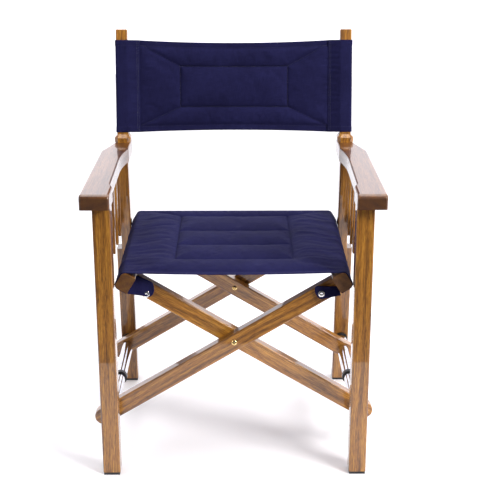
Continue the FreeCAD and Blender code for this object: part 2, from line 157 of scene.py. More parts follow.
def place_mesh(name, made, material):
    """Smooth-shade a mesh, give it its material and put it in the scene."""
    made.polygons.foreach_set("use_smooth", [True] * len(made.polygons))
    made.materials.append(material)
    made.update()
    obj = bpy.data.objects.new(name, made)
    bpy.context.scene.collection.objects.link(obj)
    return obj


# ---- node helpers -------------------------------------------------------------------------------
class Shader:
    """Small helper to build one material's nodes."""

    def __init__(self, name):
        self.material = bpy.data.materials.new(name)
        self.material.use_nodes = True
        self.tree = self.material.node_tree
        self.bsdf = self.tree.nodes["Principled BSDF"]
        self.coord = self.tree.nodes.new("ShaderNodeTexCoord")

    def node(self, kind, **settings):
        made = self.tree.nodes.new(kind)
        for key, value in settings.items():
            setattr(made, key, value)
        return made

    def link(self, source, target):
        self.tree.links.new(source, target)

    def shine(self, **sockets):
        """Constants on the shader's own sockets, by name with spaces as underscores."""
        for key, value in sockets.items():
            self.bsdf.inputs[key.replace("_", " ")].default_value = value

    def mapped(self, vector, rotation=(0, 0, 0), scale=(1, 1, 1), location=(0, 0, 0)):
        made = self.node("ShaderNodeMapping")
        made.inputs["Rotation"].default_value = rotation
        made.inputs["Scale"].default_value = scale
        made.inputs["Location"].default_value = location
        self.link(vector, made.inputs["Vector"])
        return made.outputs["Vector"]

    def noise(self, vector, scale, detail=2.0, rough=0.5):
        made = self.node("ShaderNodeTexNoise")
        made.inputs["Scale"].default_value = scale
        made.inputs["Detail"].default_value = detail
        made.inputs["Roughness"].default_value = rough
        self.link(vector, made.inputs["Vector"])
        return made.outputs["Fac"]

    def math(self, operation, a, b=0.0, clamp=False):
        made = self.node("ShaderNodeMath", operation=operation, use_clamp=clamp)
        for socket, value in zip(made.inputs, (a, b)):
            if hasattr(value, "is_linked"):
                self.link(value, socket)
            else:
                socket.default_value = value
        return made.outputs[0]

    def ramp(self, factor, stops):
        made = self.node("ShaderNodeValToRGB")
        elements = made.color_ramp.elements
        while len(elements) < len(stops):
            elements.new(0.5)
        for element, (place, colour) in zip(elements, stops):
            element.position = place
            element.color = (*colour, 1)
        self.link(factor, made.inputs["Fac"])
        return made.outputs["Color"]

    def mix(self, factor, under, over):
        """Lay a plain colour over a linked one, by a linked factor."""
        made = self.node("ShaderNodeMix", data_type="RGBA")
        self.link(factor, made.inputs[0])
        self.link(under, made.inputs[6])
        made.inputs[7].default_value = (*over, 1)
        return made.outputs[2]

    def bump(self, height, distance, strength=1.0):
        """Relief on the shader's normal, where a height of 1 is this distance in metres."""
        made = self.node("ShaderNodeBump")
        made.inputs["Distance"].default_value = distance
        made.inputs["Strength"].default_value = strength
        self.link(height, made.inputs["Height"])
        self.link(made.outputs["Normal"], self.bsdf.inputs["Normal"])


# ---- materials ----------------------------------------------------------------------------------
def teak(name, grain, seed, tint, rings):
    """Varnished teak: growth rings and dark streaks along the grain, under a clear coat."""
    shader = Shader(name)
    grain = Vector(grain).normalized()
    side = grain.orthogonal().normalized()
    rows = Matrix((side, grain.cross(side), grain))
    shift = np.random.default_rng(seed).uniform(-1, 1, 3) * (0.05, 0.05, 3.0) + (0.07, 0.02, 0)
    wood = shader.mapped(shader.coord.outputs["Object"], rows.to_euler(), location=shift)
    bend = shader.node("ShaderNodeTexNoise")
    bend.inputs["Scale"].default_value = 1.0
    bend.inputs["Detail"].default_value = 2.0
    shader.link(shader.mapped(wood, scale=(9, 9, 2.2)), bend.inputs["Vector"])
    push = shader.node("ShaderNodeVectorMath", operation="MULTIPLY_ADD")
    shader.link(bend.outputs["Color"], push.inputs[0])
    push.inputs[1].default_value = (0.034, 0.034, 0.0)
    shader.link(wood, push.inputs[2])
    ring = shader.node("ShaderNodeTexWave", wave_type="RINGS", rings_direction="Z")
    ring.inputs["Scale"].default_value = rings
    ring.inputs["Distortion"].default_value = 2.4
    ring.inputs["Detail"].default_value = 2.0
    ring.inputs["Detail Scale"].default_value = 0.6
    shader.link(push.outputs[0], ring.inputs["Vector"])
    streak = shader.noise(shader.mapped(push.outputs[0], scale=(640, 640, 9)), 1.0, 3.0, 0.62)
    broad = shader.noise(shader.mapped(push.outputs[0], scale=(60, 60, 2.2)), 1.0, 4.0, 0.62)
    fleck = shader.noise(shader.mapped(push.outputs[0], scale=(760, 760, 65)), 1.0, 2.0, 0.6)
    figure = shader.math("MULTIPLY", ring.outputs["Fac"], 0.08)
    for layer, share in ((streak, 0.42), (fleck, 0.30), (broad, 0.32)):
        figure = shader.math("ADD", figure, shader.math("MULTIPLY", layer, share))
    tone = [(0.42, (0.090, 0.028, 0.004)), (0.51, (0.225, 0.086, 0.011)),
            (0.60, (0.410, 0.172, 0.021)), (0.73, (0.600, 0.300, 0.045))]
    stops = [(at, [share * part for share, part in zip(tint, rgb)]) for at, rgb in tone]
    colour = shader.ramp(figure, stops)
    hair = shader.noise(shader.mapped(push.outputs[0], scale=(780, 780, 7)), 1.0, 2.0, 0.7)
    hair = shader.math("MULTIPLY", shader.math("SUBTRACT", 0.45, hair), 8.0, clamp=True)
    pores = shader.noise(shader.mapped(wood, scale=(1100, 1100, 45)), 1.0, 1.0)
    pore = shader.math("ADD", hair, shader.math("LESS_THAN", pores, 0.34), clamp=True)
    colour = shader.mix(shader.math("MULTIPLY", pore, 0.65), colour, (0.050, 0.017, 0.005))
    facing = shader.node("ShaderNodeVectorMath", operation="DOT_PRODUCT")
    shader.link(shader.coord.outputs["Normal"], facing.inputs[0])
    facing.inputs[1].default_value = grain
    end = shader.math("ABSOLUTE", facing.outputs["Value"])
    end = shader.math("MULTIPLY", shader.math("SUBTRACT", end, 0.8), 6.0, clamp=True)
    colour = shader.mix(shader.math("MULTIPLY", end, 0.62), colour, (0.075, 0.036, 0.019))
    shader.link(colour, shader.bsdf.inputs["Base Color"])
    matte = shader.math("ADD", shader.math("MULTIPLY", figure, -0.16), 0.50)
    shader.link(matte, shader.bsdf.inputs["Roughness"])
    shader.shine(Coat_Weight=0.92, Coat_Roughness=0.035, Coat_IOR=1.52)
    shader.bump(shader.math("ADD", streak, shader.math("MULTIPLY", pore, -0.5)), 0.00012, 0.5)
    return shader.material


def canvas():
    """Navy plain weave on metre UVs, with slubs, faint patches and a little sheen."""
    shader = Shader("navy_canvas")
    weave = shader.node("ShaderNodeUVMap", uv_map="weave").outputs["UV"]
    split = shader.node("ShaderNodeSeparateXYZ")
    shader.link(weave, split.inputs[0])
    pitch = 2 * math.pi / 0.00105
    threads = []
    for part in ("X", "Y"):
        wave = shader.math("SINE", shader.math("MULTIPLY", split.outputs[part], pitch))
        threads.append(wave)
    over = shader.math("MULTIPLY", threads[0], threads[1])
    slub_x = shader.noise(shader.mapped(weave, scale=(45, 1500, 1)), 1.0, 2.0)
    slub_y = shader.noise(shader.mapped(weave, scale=(1500, 45, 1)), 1.0, 2.0)
    slub = shader.math("ADD", slub_x, slub_y)
    patch = shader.noise(shader.coord.outputs["Object"], 14.0, 4.0, 0.6)
    shade = shader.math("ADD", shader.math("MULTIPLY", slub, 0.34), shader.math("MULTIPLY", patch, 0.34))
    shade = shader.math("ADD", shade, shader.math("MULTIPLY", over, 0.07))
    colour = shader.ramp(shade, [(0.34, (0.0085, 0.0081, 0.037)), (0.56, (0.0150, 0.0147, 0.064)),
                                 (0.78, (0.0255, 0.0260, 0.102))])
    shader.link(colour, shader.bsdf.inputs["Base Color"])
    shader.link(shader.math("ADD", shader.math("MULTIPLY", patch, 0.12), 0.74),
                shader.bsdf.inputs["Roughness"])
    shader.shine(Sheen_Weight=0.02, Sheen_Roughness=0.4, Specular_IOR_Level=0.06)
    shader.bsdf.inputs["Sheen Tint"].default_value = (0.55, 0.60, 1.0, 1)
    height = shader.math("ADD", over, shader.math("MULTIPLY", slub, 1.4))
    shader.bump(height, 0.00016, 0.7)
    return shader.material


def thread():
    """Sewing thread, about as dark as the canvas."""
    shader = Shader("navy_thread")
    twist = shader.noise(shader.coord.outputs["Object"], 2600.0, 1.0)
    shader.link(shader.ramp(twist, [(0.3, (0.008, 0.008, 0.036)), (0.7, (0.018, 0.018, 0.072))]),
                shader.bsdf.inputs["Base Color"])
    shader.shine(Roughness=0.6, Sheen_Weight=0.3)
    shader.bump(twist, 0.0001)
    return shader.material


def metal(name, base, worn, rough, scale=(90, 9, 90)):
    """Polished metal with faint drawing lines and smudges."""
    shader = Shader(name)
    lines = shader.noise(shader.mapped(shader.coord.outputs["Object"], scale=scale), 9.0, 3.0, 0.6)
    smudge = shader.noise(shader.coord.outputs["Object"], 60.0, 3.0, 0.6)
    shader.link(shader.ramp(smudge, [(0.3, worn), (0.65, base)]), shader.bsdf.inputs["Base Color"])
    blur = shader.math("ADD", shader.math("MULTIPLY", lines, 0.06), shader.math("MULTIPLY", smudge, 0.10))
    shader.link(shader.math("ADD", blur, rough - 0.06), shader.bsdf.inputs["Roughness"])
    shader.shine(Metallic=1.0)
    shader.bump(lines, 0.00003, 0.4)
    return shader.material


def plastic():
    """Black moulded plastic with a fine texture and lighter scuffs."""
    shader = Shader("black_plastic")
    grit = shader.noise(shader.coord.outputs["Object"], 1400.0, 2.0)
    scuff = shader.noise(shader.coord.outputs["Object"], 75.0, 5.0, 0.65)
    shader.link(shader.ramp(scuff, [(0.45, (0.010, 0.010, 0.011)), (0.75, (0.034, 0.033, 0.034))]),
                shader.bsdf.inputs["Base Color"])
    shader.link(shader.math("ADD", shader.math("MULTIPLY", scuff, 0.3), 0.24),
                shader.bsdf.inputs["Roughness"])
    shader.bump(grit, 0.00008, 0.5)
    return shader.material


CANVAS = canvas()
THREAD = thread()
CHROME = metal("bright_chrome", (0.93, 0.93, 0.94), (0.80, 0.80, 0.82), 0.24)
STEEL = metal("polished_steel", (0.66, 0.66, 0.69), (0.48, 0.48, 0.51), 0.07)
BRASS = metal("brass", (0.83, 0.62, 0.27), (0.60, 0.40, 0.15), 0.16, (30, 30, 30))
BLACK = plastic()

Z_GRAIN = Vector((0, 0, 1))
Y_GRAIN = Vector((0, 1, 0))
REAR_GRAIN = Vector((0, -math.sin(RAKE), math.cos(RAKE)))
GOLDEN = (1.12, 1.12, 1.10)  # tints of the timber: fresh, usual, darker, and the dark arms
MIDDLE = (0.96, 0.95, 0.90)
BROWN = (0.76, 0.74, 0.70)
DARK = (0.38, 0.29, 0.23)
GRAINS = {                   # node: direction of the grain, tint, ring density
    "front_leg": (Z_GRAIN, MIDDLE, 22), "rear_leg": (REAR_GRAIN, BROWN, 20),
    "armrest": (Y_GRAIN, DARK, 17), "arm_dowels": (Z_GRAIN, BROWN, 30),
    "side_rail": (Y_GRAIN, BROWN, 22), "arm_slats": (Z_GRAIN, MIDDLE, 28),
    "back_post": (UPRIGHT, GOLDEN, 24), "post_collar": (UPRIGHT, GOLDEN, 30),
    "seat_rail": (Y_GRAIN, BROWN, 22), "strut_outer": (ALONG, MIDDLE, 25),
    "strut_inner": (Vector((-ALONG.x, 0, ALONG.z)), GOLDEN, 22),
}
FINISHES = {                 # the nodes that aren't wood
    "axle_rod": STEEL, "axle_front_tube": STEEL, "axle_rear_tube": STEEL, "axle_spacers": STEEL,
    "axle_collar": BLACK, "axle_end_rings": BLACK, "foot_glides": BLACK, "rail_screws": BRASS,
    "cross_bolt": BRASS, "cross_washers": BRASS, "seat_stud": STEEL, "seat_tab": CANVAS,
    "seat_canvas": CANVAS, "back_canvas": CANVAS,
}


def dress_frame():
    """Give every CAD node its finish."""
    for seed, (name, node) in enumerate(sorted(frame["nodes"].items())):
        kind = name
        for ending in ("_left", "_right", "_front", "_rear"):
            kind = kind.removesuffix(ending)
        if kind in GRAINS:
            finish = teak("teak_" + name, GRAINS[kind][0], seed, *GRAINS[kind][1:])
        else:
            finish = FINISHES[kind]
        for material_slot in node.material_slots:
            material_slot.material = finish


# ---- canvas surfaces ----------------------------------------------------------------------------
class Path:
    """Section of a sling as points and outward normals, read by length along it."""

    def __init__(self, points, normals, start=0.0):
        self.points = np.array(points, float)
        self.normals = np.array(normals, float)
        steps = np.linalg.norm(np.diff(self.points, axis=0), axis=1)
        self.place = start + np.concatenate([[0.0], np.cumsum(steps)])

    def at(self, u):
        point = [np.interp(u, self.place, column) for column in self.points.T]
        normal = np.stack([np.interp(u, self.place, column) for column in self.normals.T], -1)
        normal /= np.linalg.norm(normal, axis=-1, keepdims=True)
        return np.stack(point, -1), normal


def arc(centre, radius, start, end, count=14):
    """Points and normals round a circle, between two angles."""
    turn = np.linspace(start, end, count)
    out = np.stack([np.cos(turn), np.sin(turn)], -1)
    return np.array(centre) + radius * out, out


def seam_distance(u, v, seams):
    """Distance from each point of the flat pattern to its nearest stitched line."""
    nearest = np.full(np.shape(u), 1.0)
    for (u0, v0), (u1, v1) in seams:
        du, dv = u1 - u0, v1 - v0
        share = ((u - u0) * du + (v - v0) * dv) / (du * du + dv * dv)
        share = np.clip(share, 0, 1)
        nearest = np.minimum(nearest, np.hypot(u - u0 - share * du, v - v0 - share * dv))
    return nearest


def puff(distance, height, width):
    """Filling between seams: rises steeply from a seam and levels off."""
    return height * (1 - np.exp(-(distance / width) ** 0.95))


def step(low, high, value):
    """Smooth step from 0 at low to 1 at high."""
    share = np.clip((value - low) / (high - low), 0, 1)
    return share * share * (3 - 2 * share)


def grid_lines(low, high, spacing, creases=()):
    """Even lines, with closer ones at both ends, where an edge is round, and at each straight seam."""
    count = max(2, round((high - low) / spacing))
    edge = np.array(EDGE_LINES)
    lines = np.linspace(low + EDGE_CLEAR, high - EDGE_CLEAR, count)
    for crease in creases:
        lines = lines[np.abs(lines - crease) > CREASE_CLEAR]
        lines = np.sort(np.concatenate([lines, crease + np.array(CREASE_LINES)]))
    return np.concatenate([low + edge, lines, (high - edge)[::-1]])


def edge_round(value, low, high):
    """0 at either free edge and 1 inside its rounding, as a quarter circle."""
    inside = np.clip(np.minimum(value - low, high - value) / EDGE_ROUND, 0, 1)
    return np.sqrt(1 - (1 - inside) ** 2)


class Sling:
    """A closed double sheet over a flat pattern (u, v), with its own thickness each side."""

    def __init__(self, surface, u_range, v_range, thickness):
        self.surface = surface
        self.u_range = u_range
        self.v_range = v_range
        self.thickness = thickness
        self.swell = None

    def sheets(self, us, vs):
        u, v = np.meshgrid(us, vs, indexing="ij")
        point, normal = self.surface(u, v)
        front, rear = self.thickness(u, v)
        if self.swell is not None:
            grown = [lookup(self.swell[0], self.swell[1], layer, us, vs) for layer in self.swell[2:]]
            front, rear = front + grown[0], rear + grown[1]
        blunt = edge_round(u, *self.u_range) * edge_round(v, *self.v_range)
        front = np.maximum(front, 0.0) * blunt
        rear = np.maximum(rear, 0.0) * blunt
        return point + normal * front[..., None], point - normal * rear[..., None]

    def mesh(self, name, us, vs):
        top, under = self.sheets(us, vs)
        n, m = len(us), len(vs)
        index = np.arange(n * m).reshape(n, m)
        quads = np.stack([index[:-1, :-1], index[1:, :-1], index[1:, 1:], index[:-1, 1:]], -1)
        quads = quads.reshape(-1, 4)
        faces = [quads, quads[:, ::-1] + n * m]
        rim = np.concatenate([index[:, 0], index[-1, 1:], index[-2::-1, -1], index[0, -2:0:-1]])
        after = np.roll(rim, -1)
        faces.append(np.stack([rim, rim + n * m, after + n * m, after], -1))
        made = bpy.data.meshes.new(name)
        points = np.concatenate([top.reshape(-1, 3), under.reshape(-1, 3)])
        faces = np.concatenate(faces)
        made.from_pydata(points.tolist(), [], faces.tolist())
        u, v = np.meshgrid(us, vs, indexing="ij")
        flat = np.stack([u.ravel(), v.ravel()], -1)
        flat = np.concatenate([flat, flat])
        layer = made.uv_layers.new(name="weave")
        layer.data.foreach_set("uv", flat[faces.ravel()].astype(np.float32).ravel())
        return place_mesh(name, made, CANVAS)

    def simulate(self, pinned, seed):
        """Inflate the stitched sheets as cloth and keep how far each point swells."""
        us = np.arange(self.u_range[0] + 0.002, self.u_range[1], SIM_STEP)
        vs = np.arange(self.v_range[0] + 0.002, self.v_range[1], SIM_STEP)
        body = self.mesh("cloth_rest", us, vs)
        n, m = len(us), len(vs)
        rest = np.array([vertex.co for vertex in body.data.vertices])
        noise = np.random.default_rng(seed).normal(0, 0.0002, rest.shape)
        u, v = np.meshgrid(us, vs, indexing="ij")
        held = pinned(u, v).ravel()
        held = np.concatenate([held, held])
        start = rest + noise * (1 - held[:, None])
        body.data.vertices.foreach_set("co", start.ravel())
        group = body.vertex_groups.new(name="held")
        for number in np.nonzero(held > 0.01)[0]:
            group.add([int(number)], float(held[number]), "REPLACE")
        cloth = body.modifiers.new("cloth", "CLOTH").settings
        cloth.vertex_group_mass = "held"
        cloth.quality = 6
        cloth.mass = 0.25
        cloth.tension_stiffness = 25
        cloth.compression_stiffness = 12
        cloth.shear_stiffness = 8
        cloth.bending_stiffness = 3.0
        cloth.shrink_min = -0.014
        cloth.use_pressure = True
        cloth.uniform_pressure_force = 3.5
        cloth.effector_weights.gravity = 0
        scene = bpy.context.scene
        for number in range(1, SIM_FRAMES + 1):
            scene.frame_set(number)
        shown = body.evaluated_get(bpy.context.evaluated_depsgraph_get())
        moved = np.array([vertex.co for vertex in shown.data.vertices]) - rest
        scene.frame_set(1)
        bpy.data.objects.remove(body)
        normal = self.surface(u, v)[1].reshape(-1, 3)
        normal = np.concatenate([normal, -normal])
        out = SIM_SHARE * np.clip((moved * normal).sum(1), -SIM_CAP, SIM_CAP).reshape(2, n, m)
        print("cloth swell, mm:", np.round(out.min() * 1000, 2), np.round(out.max() * 1000, 2))
        self.swell = (us, vs, out[0], out[1])


def lookup(us, vs, layer, new_us, new_vs):
    """Read a coarse grid of values at finer lines, smoothly."""
    across = np.stack([cubic(us, layer[:, j], new_us) for j in range(layer.shape[1])], 1)
    return np.stack([cubic(vs, across[i], new_vs) for i in range(across.shape[0])], 0)


def cubic(xs, values, places):
    """Catmull-Rom reading of evenly spaced values."""
    at = np.clip((places - xs[0]) / (xs[1] - xs[0]), 0, len(xs) - 1)
    first = np.minimum(at.astype(int), len(xs) - 2)
    t = at - first
    a, b, c, d = [values[np.clip(first + k, 0, len(xs) - 1)] for k in (-1, 0, 1, 2)]
    return b + 0.5 * t * (c - a + t * (2 * a - 5 * b + 4 * c - d + t * (3 * (b - c) + d - a)))


def tube_faces(base, rings, turns):
    """Faces between rings of points, the first ring starting at number base."""
    faces = []
    for ring in range(rings - 1):
        for turn in range(turns):
            a = base + ring * turns + turn
            b = base + ring * turns + (turn + 1) % turns
            faces.append((a, b, b + turns, a + turns))
    return faces


def stitches(sling, name, seams, sides):
    """Rows of short raised stitches along the seams, on the sheets named in sides."""
    centres, runs = [], []
    for (u0, v0), (u1, v1) in seams:
        length = math.hypot(u1 - u0, v1 - v0)
        count = max(1, int(length / STITCH_STEP))
        share = (np.arange(count) + 0.5) / count
        centres.append(np.stack([u0 + share * (u1 - u0), v0 + share * (v1 - v0)], -1))
        runs.append(np.tile([(u1 - u0) / length, (v1 - v0) / length], (count, 1)))
    centres, runs = np.concatenate(centres), np.concatenate(runs)
    points, faces = [], []
    for side in sides:
        for (u, v), (du, dv) in zip(centres, runs):
            ends = np.array([[u - du * STITCH_LONG / 2, v - dv * STITCH_LONG / 2],
                             [u + du * STITCH_LONG / 2, v + dv * STITCH_LONG / 2]])
            on, out = sling.surface(ends[:, 0], ends[:, 1])
            thick = sling.thickness(ends[:, 0], ends[:, 1])[0 if side > 0 else 1]
            on = on + out * (side * (thick + STITCH_R * 0.4))[:, None]
            along = on[1] - on[0]
            up = out.mean(0)
            across = np.cross(along, up)
            across /= np.linalg.norm(across)
            base = len(points)
            for share, fat in STITCH_RINGS:
                middle = on.mean(0) + along * share
                for turn in range(STITCH_TURNS):
                    angle = 2 * math.pi * turn / STITCH_TURNS
                    points.append(middle + STITCH_R * fat * (across * math.cos(angle)
                                                             + up * math.sin(angle)))
            faces.extend(tube_faces(base, len(STITCH_RINGS), STITCH_TURNS))
            last = base + STITCH_TURNS * (len(STITCH_RINGS) - 1)
            faces.append(tuple(base + turn for turn in range(STITCH_TURNS - 1, -1, -1)))
            faces.append(tuple(last + turn for turn in range(STITCH_TURNS)))
    made = bpy.data.meshes.new(name)
    made.from_pydata([tuple(point) for point in points], [], faces)
    return place_mesh(name, made, THREAD)


def join(target, *others):
    """Join meshes into the first one."""
    bpy.ops.object.select_all(action="DESELECT")
    for obj in (target, *others):
        obj.select_set(True)
    bpy.context.view_layer.objects.active = target
    bpy.ops.object.join()
    return target


def rectangle(u0, u1, v0, v1):
    """Four seams round a rectangle."""
    corners = [(u0, v0), (u1, v0), (u1, v1), (u0, v1)]
    return list(zip(corners, corners[1:] + corners[:1]))


# ---- seat ---------------------------------------------------------------------------------------
def seat_section():
    """Half of the seat's section, from the middle out, round the rail and under it, and the rail's x."""
    outer = extent("seat_rail_right", ALONG)[1]
    a0, a1 = extent("seat_rail_right", SQUARE)
    radius = RAIL_ROUND + GAP + CLOTH / 2

    def corner(along, square):
        place = ALONG * along + SQUARE * square
        return np.array([place.x, place.z])

    upper = corner(outer - RAIL_ROUND, a1 - RAIL_ROUND)
    lower = corner(outer - RAIL_ROUND, a0 + RAIL_ROUND)
    top_x = np.linspace(0, upper[0], 60)
    sag = SEAT_SAG * (1 - (top_x / upper[0]) ** 2)
    points = [np.stack([top_x, upper[1] + radius - sag], -1)[:-1]]
    slope = 2 * SEAT_SAG * top_x / upper[0] ** 2
    normals = [np.stack([-slope, np.ones(60)], -1)[:-1]]
    for centre, start, end in ((upper, math.pi / 2, SLOPE), (lower, SLOPE, SLOPE - math.pi / 2)):
        on, out = arc(centre, radius, start, end)
        points.append(on)
        normals.append(out)
    tuck = points[-1][-1] - SEAT_UNDER * np.array([ALONG.x, ALONG.z])
    points.append(tuck[None])
    normals.append(normals[-1][-1:])
    return Path(np.concatenate(points), np.concatenate(normals)), upper[0]


def make_seat():
    section, rail_x = seat_section()
    low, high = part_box("seat_canvas")
    v_range = (low.y + 0.002, high.y - 0.0005)
    reach = section.place[-1]
    front, rear = v_range

    def surface(u, v):
        on, out = section.at(np.abs(u))
        side = np.sign(u) + (u == 0)
        taut = (v - front) / (rear - front) * (1 - np.clip(np.abs(u) / rail_x, 0, 1) ** 2)
        point = np.stack([on[..., 0] * side, v, on[..., 1] + SEAT_SAG * taut], -1)
        normal = np.stack([out[..., 0] * side, np.zeros_like(u), out[..., 1]], -1)
        return point, normal

    inner = rectangle(-SEAT_INNER_X, SEAT_INNER_X, front + SEAT_INNER_FRONT, front + SEAT_INNER_REAR)
    channels = [((-SEAT_INNER_X, front + at), (SEAT_INNER_X, front + at)) for at in SEAT_CHANNELS]
    mitres = [((side * SEAT_INNER_X, front + SEAT_INNER_REAR), (side * SEAT_CORNER_X, rear - HEM))
              for side in (-1, 1)]
    hems = [((-reach + 0.004, at), (reach - 0.004, at)) for at in (front + HEM, rear - HEM)]
    edges = [((side * (reach - 0.006), front + 0.004), (side * (reach - 0.006), rear - 0.004))
             for side in (-1, 1)]
    quilted = inner + channels + mitres
    sewn = quilted + hems
    ridges = ridge_set(11, v_range)

    def thickness(u, v):
        away = seam_distance(u, v, sewn)
        fold = 1 - step(HEM - 0.001, HEM, np.minimum(v - front, rear - v))
        padded = 1 - step(rail_x - 0.070, rail_x + 0.002, np.abs(u))
        inside = step(0.0, 0.006, np.minimum(v - front, rear - v) - HEM)
        top = CLOTH / 2 + puff(away, *SEAT_PUFF) * padded * inside + HEM_EXTRA * fold
        under = CLOTH / 2 + puff(away, *SEAT_PUFF_UNDER) * padded * inside
        groove = SEAT_GROOVE * np.exp(-(away / GROOVE_WIDE) ** 2)
        pull = step(SEAT_INNER_X, SEAT_INNER_X + 0.03, np.abs(u)) * (1 - step(0.235, 0.262, np.abs(u)))
        pull = pull * inside
        return top - groove + ridges(u, v) * pull, under

    sling = Sling(surface, (-reach, reach), v_range, thickness)

    def pinned(u, v):
        away = seam_distance(u, v, sewn)
        over_rail = step(rail_x - 0.022, rail_x - 0.006, np.abs(u))
        hem = 1 - step(HEM - 0.002, HEM + 0.004, np.minimum(v - front, rear - v))
        return np.maximum(np.maximum(over_rail, hem), 1 - step(0.002, 0.0055, away))

    sling.simulate(pinned, 3)
    us = grid_lines(-reach, reach, MESH_STEP, (-SEAT_INNER_X, SEAT_INNER_X))
    across = (SEAT_INNER_FRONT, *SEAT_CHANNELS, SEAT_INNER_REAR)
    vs = grid_lines(*v_range, MESH_STEP, [front + at for at in across])
    seat = sling.mesh("seat_sling", us, vs)
    sling.swell = None
    rows = stitches(sling, "seat_stitches", sewn + edges, (1,))
    seat = join(seat, rows)
    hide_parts("seat_canvas")
    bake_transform(seat)


def ridge_set(seed, v_range):
    """Tension folds in the canvas near the rails: soft ridges that run out from the stitched part."""
    dice = np.random.default_rng(seed)
    ridges = []
    for side in (-1, 1):
        at = v_range[0] + 0.02
        while at < v_range[1] - 0.02:
            ridges.append((side, at, dice.uniform(-0.22, 0.22), dice.uniform(0.004, 0.010),
                           dice.uniform(0.0007, 0.0021) * dice.choice([-1, 1, 1])))
            at += dice.uniform(0.014, 0.032)

    def height(u, v):
        total = np.zeros(np.shape(u))
        for side, at, lean, wide, tall in ridges:
            line = at + lean * (np.abs(u) - 0.16)
            total += tall * np.exp(-((v - line) / wide) ** 2) * (np.sign(u) == side)
        return total

    return height


# ---- back ---------------------------------------------------------------------------------------
def back_box():
    """The back canvas in its leaning frame: its middle depth, and its lowest and highest place."""
    low, high = extent("back_canvas", UPRIGHT)
    near, far = extent("back_canvas", DEPTH)
    return (near + far) / 2, low, high


def leaning(x, depth, up):
    """Points from places in the back's leaning frame."""
    place = np.stack([np.asarray(x, float), np.zeros(np.shape(x)), np.zeros(np.shape(x))], -1)
    return place + np.multiply.outer(depth, np.array(DEPTH)) + np.multiply.outer(up, np.array(UPRIGHT))


def make_back_panel():
    middle, low, high = back_box()
    tuck = BACK_SEAM_X + BACK_TUCK
    u_range, v_range = (-tuck, tuck), (low, high)

    def surface(u, v):
        bow = 1 - np.clip(np.abs(u) / BACK_SEAM_X, 0, 1) ** 2
        share = (v - low) / (high - low)
        up = v + bow * ((1 - share) * BACK_LOW_RISE - share * BACK_TOP_DIP)
        depth = middle + 0.004 * bow
        out = np.broadcast_to(-np.array(DEPTH), (*np.shape(u), 3))
        return leaning(u, depth, up), out

    inner = rectangle(-BACK_INNER_X, BACK_INNER_X, low + BACK_INNER_LOW, high - BACK_INNER_TOP)
    mitres = []
    for side in (-1, 1):
        for start, end in ((high - BACK_INNER_TOP, high - 0.007), (low + BACK_INNER_LOW, low + 0.012)):
            mitres.append(((side * BACK_INNER_X, start), (side * BACK_SEAM_X, end)))
    hems = [((-BACK_SEAM_X, at), (BACK_SEAM_X, at)) for at in (low + HEM, high - HEM)]
    sides = [((side * BACK_SEAM_X, low + 0.002), (side * BACK_SEAM_X, high - 0.002)) for side in (-1, 1)]
    sewn = inner + mitres + hems + sides
    dice = np.random.default_rng(29)
    waves = [(dice.uniform(500, 1100), dice.uniform(0, 6.28), dice.uniform(0.2, 1.0)) for _ in range(6)]

    def thickness(u, v):
        away = seam_distance(u, v, sewn)
        inside = step(0.0, 0.006, np.minimum(v - low, high - v) - HEM)
        panel = 1 - step(BACK_SEAM_X - 0.0005, BACK_SEAM_X + 0.0005, np.abs(u))
        fold = 1 - step(HEM - 0.001, HEM, np.minimum(v - low, high - v))
        swell = puff(away, 1.0, BACK_PUFF_WIDE) * panel * inside
        pucker = sum(tall * np.sin(often * v + turn) for often, turn, tall in waves)
        pucker = pucker * BACK_PUCKER * step(0.17, 0.21, np.abs(u)) * panel * inside
        groove = BACK_GROOVE * np.exp(-(away / GROOVE_WIDE) ** 2)
        base = CLOTH / 2 + HEM_EXTRA * fold - groove * panel
        return base + BACK_PUFF_FRONT * swell + pucker, base + BACK_PUFF_REAR * swell + pucker

    sling = Sling(surface, u_range, v_range, thickness)

    def pinned(u, v):
        away = seam_distance(u, v, sewn)
        hem = 1 - step(HEM - 0.002, HEM + 0.003, np.minimum(v - low, high - v))
        sleeve = step(BACK_SEAM_X - 0.003, BACK_SEAM_X, np.abs(u))
        return np.maximum(np.maximum(hem, sleeve), 1 - step(0.002, 0.0055, away))

    sling.simulate(pinned, 5)
    us = grid_lines(*u_range, MESH_STEP, (-BACK_SEAM_X, -BACK_INNER_X, BACK_INNER_X, BACK_SEAM_X))
    vs = grid_lines(*v_range, MESH_STEP, (low + BACK_INNER_LOW, high - BACK_INNER_TOP))
    panel = sling.mesh("back_panel", us, vs)
    sling.swell = None
    rows = stitches(sling, "back_stitches", inner + mitres + hems, (1, -1))
    panel = join(panel, rows)
    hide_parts("back_canvas")
    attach(panel, "side_left")
    return panel


def hull(points):
    """Convex outline of 2-D points, counter-clockwise."""
    points = sorted(map(tuple, points))
    halves = []
    for order in (points, points[::-1]):
        chain = []
        for point in order:
            while len(chain) > 1:
                (ax, ay), (bx, by) = chain[-2:]
                if (bx - ax) * (point[1] - ay) - (by - ay) * (point[0] - ax) > 1e-12:
                    break
                chain.pop()
            chain.append(point)
        halves.append(chain[:-1])
    return np.array(halves[0] + halves[1])


